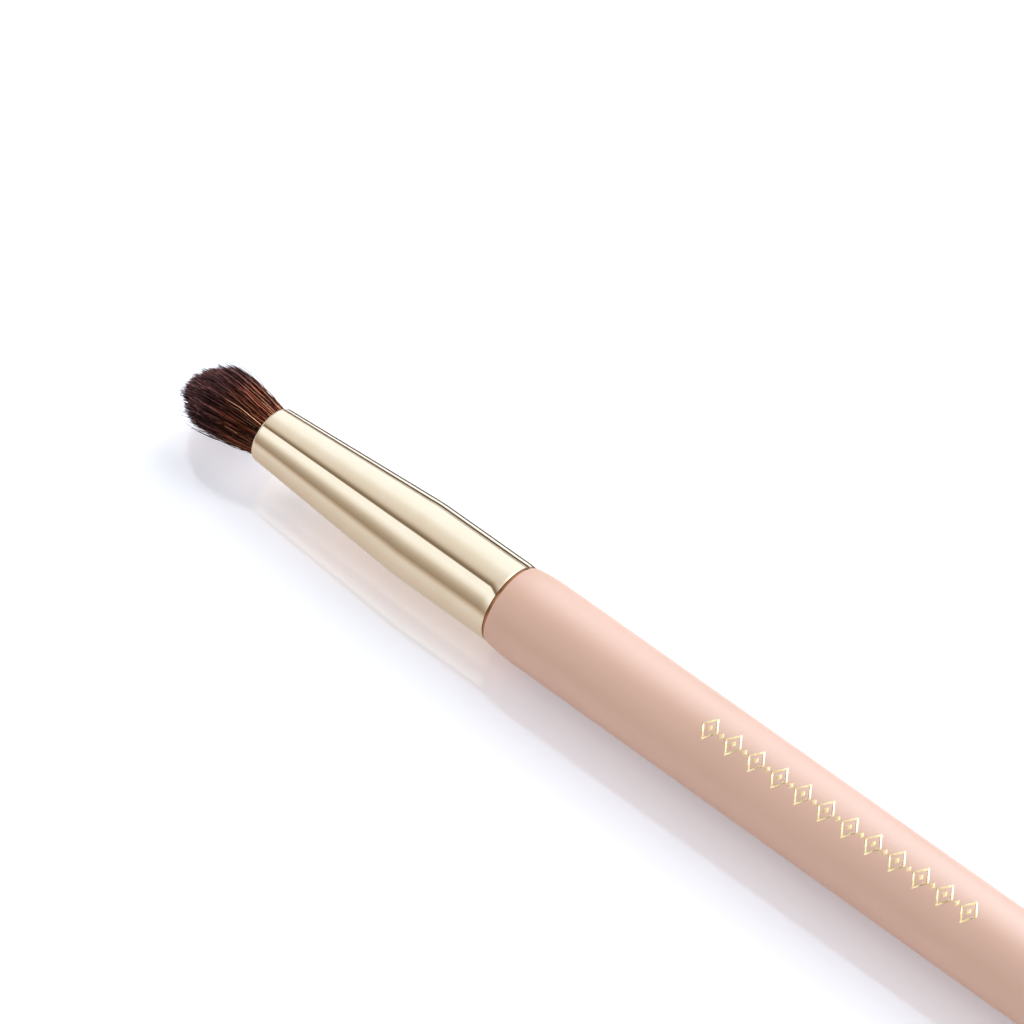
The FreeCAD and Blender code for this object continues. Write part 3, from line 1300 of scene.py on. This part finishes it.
    def tubes(
        self, name: str, points: np.ndarray, reach: np.ndarray, tone: np.ndarray, radius: float
    ) -> Piece:
        """Three-sided tapering tubes round centre lines, closed at the root and pointed at the tip.

        The radius falls towards the tip by the taper times the reach to a power.

        Args:
            name: name of the piece.
            points: hairs x rings x 3 centres, counted from the mouth.
            reach: hairs x rings, from 0 at the mouth to 1 at the tip.
            tone: each hair's tone.
            radius: radius of a hair at the mouth.

        Returns:
            The object, with attributes reach and tone.
        """
        draw = self.generator
        count, rings, _ = points.shape
        thick = radius * draw.uniform(*self.radius_spread, (count, 1))
        thick = np.maximum(thick * (1 - self.taper * reach**self.taper_power), self.tip_radius)
        turn = draw.uniform(0, FULL_TURN, (count, 1, 1)) + np.arange(3) * FULL_TURN / 3
        ring = round_lines(points, thick[..., None], turn, (0.0, 0.0, 1.0))
        last = (rings - 1) * 3
        ends = np.array([[2, 1, 0], [last, last + 1, last + 2]])
        walls = repeated(ring_faces(rings, 3, closed=False), count, rings * 3)
        marks = {"reach": np.repeat(reach.ravel(), 3), "tone": np.repeat(tone, rings * 3)}
        corners = ring.reshape(-1, 3) + axis_offset()
        return mesh_piece(name, corners, [walls, repeated(ends, count, rings * 3)], marks)

    def build(self) -> list[Piece]:
        """Makes the tuft: dark hairs in parts, then bright hairs and strays.

        Returns:
            The pieces.
        """
        looks = {finish: finish.material() for finish in (DARK_HAIR, BRIGHT_HAIR)}
        pieces = []
        for kind in self.kinds:
            share, angle = self.spread(kind.count, *kind.shares)
            points, reach, tone = self.lines(share, angle, kind)
            tone = kind.gain * tone + kind.lift
            radius = kind.thickness * self.hair_radius
            for index, name in enumerate(kind.names):
                part = slice(index, None, len(kind.names))
                tubes = self.tubes(name, points[part], reach[part], tone[part], radius)
                pieces.append(finish_piece(tubes, looks[kind.finish], kind.replaced))
        return pieces


@dataclass
class Binding:
    """Two-ply thread wound round the tuft's root."""

    thread_radius: float = 0.175 * MM
    winding_radius: float = 2.5 * MM
    start: float = 4.14 * MM
    pitch: float = 0.8 * MM
    turns: int = 3
    ply_turns: int = 64
    ply_depth: float = 0.1
    steps: int = 768
    sides: int = 10

    def build(self) -> list[Piece]:
        """Makes the winding.

        The centre line is a helix of the given pitch. The thread's surface is the outline of its two plies:
        its radius swells and falls twice in a turn of the section, and that pattern turns with the twist.

        Returns:
            The piece.
        """
        share = np.linspace(0, 1, self.steps + 1)
        angle = share * self.turns * FULL_TURN
        centre = np.stack([
            self.start + self.pitch * self.turns * share,
            self.winding_radius * np.cos(angle),
            self.winding_radius * np.sin(angle),
        ], axis=-1)
        around = np.arange(self.sides) * FULL_TURN / self.sides
        twist = share[:, None] * self.ply_turns * FULL_TURN
        swell = 1 - self.ply_depth + self.ply_depth * np.cos(2 * (around[None, :] - twist))
        rings = round_lines(centre, self.thread_radius * swell, around, (1.0, 0.0, 0.0))
        rows = len(centre)
        walls = ring_faces(rows, self.sides, closed=False)
        ends = np.array([np.arange(self.sides)[::-1], np.arange(self.sides) + (rows - 1) * self.sides])
        piece = mesh_piece("wound_thread", rings.reshape(-1, 3) + axis_offset(), [walls, ends])
        return [finish_piece(piece, WAXED_COTTON.material(), "tuft_binding")]


@dataclass
class GlueWork:
    """The two bodies of hardened glue, whose CAD meshes stay."""

    nodes: tuple[str, ...] = ("root_glue", "tenon_glue")

    def build(self) -> list[Piece]:
        """Dresses the CAD nodes.

        Returns:
            The nodes' objects.
        """
        amber = AmberGlue().material()
        pieces = [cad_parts[name] for name in self.nodes]
        for piece in pieces:
            piece.data.materials.clear()
            piece.data.materials.append(amber)
            LOG.info("%s: dressed", piece.name)
        return pieces


# The studio


@dataclass
class Table:
    """White gloss table top, which keeps the shadow near the brush and shows as white farther out.

    Its glow is painted light and shade: a faint lift that is weaker near the brush and weaker still in a
    band of painted shade in front of it, painted light in the hair's shadow and, in gold, a painted pool of
    light under the metal, where the light that the ferrule throws down would fall. A glow's place is a band
    along the brush and one across it.
    """

    half: float = 12.0
    white: Colour = (0.905, 0.90, 0.93)
    roughness: float = 0.08
    ior: float = 2.1
    fade: Span = (0.2, 0.7)
    glow: Colour = (0.105, 0.11, 0.125)
    near_across: Band = (-0.024, -0.014, 0.003, 0.008)
    far_gain: float = 0.75
    # Painted shade: the glow is weaker in this band in front of the brush.
    painted_shade_across: Band = (-0.016, -0.010, -0.0075, -0.004)
    painted_shade_loss: float = 0.55
    # Painted light in the hair's shadow.
    tuft_painted_light: Colour = (0.27, 0.235, 0.235)
    tuft_along: Band = (-0.0875, -0.0815, -0.0755, -0.0695)
    tuft_across: Band = (-0.0065, -0.002, -0.001, 0.0035)
    # Painted pool of gold light under the ferrule.
    metal_painted_light: Colour = (0.09, 0.03, 0.0)
    metal_along: Band = (-0.074, -0.062, -0.046, -0.037)
    metal_across: Band = (-0.008, -0.004, -0.001, 0.003)

    def material(self) -> bpy.types.Material:
        """Acrylic whose glow only camera, glossy and transmission rays see.

        Returns:
            The material.
        """
        material, graph = new_material("white_acrylic")
        place = graph.place()
        along, across, _ = graph.parts(place)
        away = graph.take("ShaderNodeVectorMath", "Value", {"operation": "LENGTH"}, {0: place})
        path = graph.node("ShaderNodeLightPath")
        rays = [Sock(graph, path.outputs[f"Is {kind} Ray"]) for kind in ("Camera", "Glossy", "Transmission")]
        seen = graph.math("MINIMUM", rays[0] + rays[1] + rays[2], 1.0)
        # Painted shade near the brush and in front of it, painted light under the hair and under the metal.
        gain = (1.0 - graph.band(across, self.near_across)) * self.far_gain + 1.0
        gain = gain - graph.band(across, self.painted_shade_across) * self.painted_shade_loss
        tuft = graph.band(along, self.tuft_along) * graph.band(across, self.tuft_across)
        metal = graph.band(along, self.metal_along) * graph.band(across, self.metal_across)
        glow = graph.vector("ADD", graph.scaled(self.glow, gain), graph.scaled(self.tuft_painted_light, tuft))
        glow = graph.vector("ADD", glow, graph.scaled(self.metal_painted_light, metal))
        board = graph.principled({
            "Base Color": (*self.white, 1.0),
            "Roughness": self.roughness,
            "IOR": self.ior,
            "Emission Color": graph.scaled(glow, seen),
            "Emission Strength": 1.0,
        })
        far = graph.span(away, *self.fade) * seen
        graph.surface(graph.either(far, board, graph.emission((1.0, 1.0, 1.0))))
        return material

    def build(self) -> Piece:
        """Makes the square table top at z = 0.

        Returns:
            The object.
        """
        corners = np.array([(-1, -1, 0), (1, -1, 0), (1, 1, 0), (-1, 1, 0)]) * self.half
        table = mesh_piece("table", corners, [np.array([[0, 1, 2, 3]])])
        table.data.materials.append(self.material())
        return table


@dataclass
class Flags:
    """Painted reflections: dark felt strips behind the brush and a grey card in front of it, flat glowing
    sheets seen only in the metal, where the strips paint dark lines and the card paints the shaded table's
    reflection.
    """

    half: float = 3.0
    height: float = 0.2 * MM
    felt_across: Span = (0.027, 0.105)
    strip_along: Span = (-0.090, -0.0465)
    strip_across: Span = (0.0065, 0.014)
    felt_dark: Colour = (0.12, 0.085, 0.05)
    felt_light: Colour = (0.17, 0.12, 0.075)
    felt: Noise = Noise(40.0)
    card_along: Span = (-1.2, -0.0446)
    card_across: Span = (-1.9, -0.002)
    card_depth: float = 0.1
    card_reflection_stops: Stops = (
        (0.0, (0.56, 0.48, 0.42)),
        (0.35, (0.60, 0.52, 0.46)),
        (0.65, (0.76, 0.71, 0.70)),
        (0.79, (0.87, 0.85, 0.89)),
        (0.88, (0.845, 0.825, 0.845)),
        (0.94, (0.75, 0.68, 0.67)),
        (0.965, (0.64, 0.58, 0.52)),
        (1.0, (0.60, 0.54, 0.48)),
    )

    def material(self) -> bpy.types.Material:
        """Painted reflection: felt behind the axis, card in front of it, both glowing, and nothing from
        below.

        Returns:
            The material.
        """
        material, graph = new_material("painted_reflection_flags")
        place = graph.place()
        _, across, _ = graph.parts(place)
        # Painted reflection: dark glowing felt, seen in the ferrule as dark lines.
        felt = graph.mix(graph.noise(place, self.felt), self.felt_dark, self.felt_light)
        # Painted reflection of the table in front of the brush, darker near it as its shade.
        card = graph.ramp(across / self.card_depth + 1.0, self.card_reflection_stops)
        behind = graph.math("GREATER_THAN", across, 0.0)
        shade = graph.emission(graph.mix(behind, card, felt))
        clear = graph.take("ShaderNodeBsdfTransparent", 0)
        graph.surface(graph.either(graph.take("ShaderNodeNewGeometry", "Backfacing"), shade, clear))
        return material

    def build(self) -> Piece:
        """Makes the flags, flat rectangles just above the table.

        Returns:
            The object.
        """
        spans = [
            (-self.half, self.half, *self.felt_across),
            (*self.strip_along, *self.strip_across),
            (*self.card_along, *self.card_across),
        ]
        corners = [
            [(left, near), (right, near), (right, far), (left, far)] for left, right, near, far in spans
        ]
        flat = np.array(corners).reshape(-1, 2)
        points = np.column_stack([flat, np.full(len(flat), self.height)])
        flags = mesh_piece("painted_reflection_flags", points, [np.arange(len(flat)).reshape(-1, 4)])
        flags.data.materials.append(self.material())
        for ray in ("camera", "diffuse", "shadow", "transmission"):
            setattr(flags, f"visible_{ray}", False)
        return flags


@dataclass
class Tent:
    """Half tunnel of soft light over the table, along X and hidden from the camera.

    Its level goes by the angle from straight up, in degrees, positive towards -Y. Places along it are counted
    in radii.
    """

    radius: float = 2.0
    half: float = 3.0
    rows: int = 73
    columns: int = 9
    bright: Colour = (1.0, 1.11, 1.26)
    dim: Colour = (1.0, 0.755, 0.505)
    gain: float = 1.35
    lift: float = 1.075
    levels: tuple[Span, ...] = (
        (-90.0, 0.20),
        (-88.5, 0.20),
        (-87.0, 1.20),
        (-60.0, 1.20),
        (-40.0, 1.14),
        (-20.0, 0.93),
        (-3.0, 0.82),
        (4.0, 0.74),
        (9.5, 0.54),
        (14.0, 0.34),
        (17.5, 0.22),
        (21.5, 0.25),
        (23.5, 1.14),
        (42.0, 1.14),
        (52.0, 0.98),
        (62.0, 0.70),
        (73.0, 0.50),
        (84.0, 0.40),
        (90.0, 0.36),
    )
    lean_start: float = -0.42
    lean_degrees: float = 50.0
    lean_limit_degrees: float = 12.0
    lean_blur: float = 0.15
    key_gain: float = 2.5
    key_along: Band = (-0.30, -0.12, 0.25, 0.55)
    key_degrees: Span = (-42.0, 10.0)
    fill_gain: float = 1.45
    fill_along: Span = (0.0, 0.35)
    fill_degrees: Span = (30.0, 50.0)
    outer_level: float = 0.5
    outer_along: Band = (-1.1, -0.8, 0.2, 0.5)

    def material(self) -> bpy.types.Material:
        """Two soft boxes with a dark gap between them that leans, a key light behind and a fill in front.

        Returns:
            The material.
        """
        material, graph = new_material("soft_tent")
        along, across, height = graph.parts(graph.place())
        run = along / self.radius
        angle = graph.math("ARCTAN2", -across, height)
        lean = graph.math("MAXIMUM", run - self.lean_start, 0.0) * math.radians(self.lean_degrees)
        lean = graph.math("MINIMUM", lean, math.radians(self.lean_limit_degrees))
        angle = angle - lean * graph.span(angle, 0.0, self.lean_blur)
        stops = [(degrees / 180 + 0.5, level * self.lift / self.gain) for degrees, level in self.levels]
        level = graph.ramp(angle / math.pi + 0.5, stops)
        tint = graph.mix(level, self.dim, self.bright)
        behind = graph.span(angle, *in_radians(self.key_degrees), 1.0, 0.0)
        key = graph.band(run, self.key_along) * behind * self.key_gain
        in_front = graph.span(angle, *in_radians(self.fill_degrees))
        fill = graph.span(run, *self.fill_along) * in_front * self.fill_gain
        rest = graph.span(graph.band(run, self.outer_along), 0.0, 1.0, self.outer_level, 1.0)
        light = graph.scaled(tint, level * (key + (fill + 1.0) * rest))
        graph.surface(graph.emission(light, self.gain))
        return material

    def build(self) -> Piece:
        """Makes the tunnel: (x, -radius * sine of the angle, radius * cosine of the angle).

        Returns:
            The object.
        """
        angle = np.radians(np.linspace(-90, 90, self.rows))
        x = np.linspace(-self.half, self.half, self.columns)
        grid_angle, grid_x = np.meshgrid(angle, x, indexing="ij")
        across, height = -self.radius * np.sin(grid_angle), self.radius * np.cos(grid_angle)
        points = np.stack([grid_x, across, height], axis=-1)
        start = (np.arange(self.rows - 1)[:, None] * self.columns + np.arange(self.columns - 1)).ravel()
        faces = np.stack([start, start + 1, start + self.columns + 1, start + self.columns], axis=-1)
        tent = mesh_piece("light_tent", points.reshape(-1, 3), [faces])
        tent.data.materials.append(self.material())
        tent.visible_camera = False
        tent.visible_shadow = False
        return tent


@dataclass
class Studio:
    """White glossy table under a soft light tent, and the camera."""

    camera_distance: float = 0.4686
    camera_azimuth: float = 41.61
    camera_elevation: float = 52.06
    camera_target: Place = (-0.05408, 0.01073, -0.000275)
    camera_clip: Span = (0.01, 100.0)
    focal_pixels: float = 5000.0
    image_pixels: float = 1024.0
    sensor: float = 36.0

    def world(self) -> None:
        """Plain white surroundings."""
        world = bpy.data.worlds.new("white_room")
        world.use_nodes = True
        graph = Graph(world.node_tree)
        white = graph.take("ShaderNodeBackground", 0, {}, {"Color": (1.0, 1.0, 1.0, 1.0), "Strength": 1.0})
        graph.node("ShaderNodeOutputWorld", inputs={"Surface": white})
        bpy.context.scene.world = world

    def camera(self) -> None:
        """Camera at the photograph's viewing angle, aimed at a point near the ferrule."""
        data = bpy.data.cameras.new("camera")
        data.sensor_width = self.sensor
        data.lens = self.sensor * self.focal_pixels / self.image_pixels
        data.clip_start, data.clip_end = self.camera_clip
        camera = bpy.data.objects.new("camera", data)
        bpy.context.scene.collection.objects.link(camera)
        azimuth, elevation = math.radians(self.camera_azimuth), math.radians(self.camera_elevation)
        level = math.cos(elevation)
        back = Vector((math.sin(azimuth) * level, -math.cos(azimuth) * level, math.sin(elevation)))
        camera.location = Vector(self.camera_target) + back * self.camera_distance
        camera.rotation_euler = (-back).to_track_quat("-Z", "Y").to_euler()
        bpy.context.scene.camera = camera

    def build(self) -> None:
        """Sets up table, tent, flags, surroundings and camera."""
        Table().build()
        Tent().build()
        Flags().build()
        self.world()
        self.camera()
        bpy.context.scene.view_settings.view_transform = "Standard"


def main() -> None:
    """Builds the brush piece by piece."""
    logging.basicConfig(level=logging.INFO, format="%(message)s")
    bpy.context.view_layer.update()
    Studio().build()
    for assembly in (Handle(), FoilOrnament(), Ferrule(), HairTuft(), Binding(), GlueWork()):
        pieces = assembly.build()
        LOG.info("%s: %d pieces", type(assembly).__name__, len(pieces))


if __name__ == "__main__":
    main()
